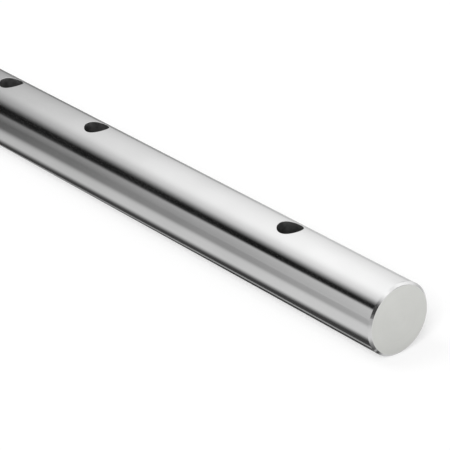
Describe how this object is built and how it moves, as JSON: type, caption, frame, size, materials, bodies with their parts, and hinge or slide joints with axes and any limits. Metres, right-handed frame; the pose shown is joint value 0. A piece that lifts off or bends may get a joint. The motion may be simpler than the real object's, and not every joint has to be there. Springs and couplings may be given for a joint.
{
  "type": "linear shaft",
  "caption": "Round ground steel guide shaft with chamfered ends and a row of blind tapped holes along its crest for fastening it to a support rail.",
  "frame": {"origin": "on the shaft's axis at mid-length", "axes": "+X along the shaft towards the end seen in the picture, +Z out of the tapped holes, -Y towards the picture's viewer"},
  "size_m": [0.5, 0.03, 0.03],
  "materials": {
    "ground_steel": "hardened, precision-ground and polished round surface, with turned end faces"
  },
  "bodies": {
    "root": {"shaft": "ground_steel"}
  },
  "joints": []
}
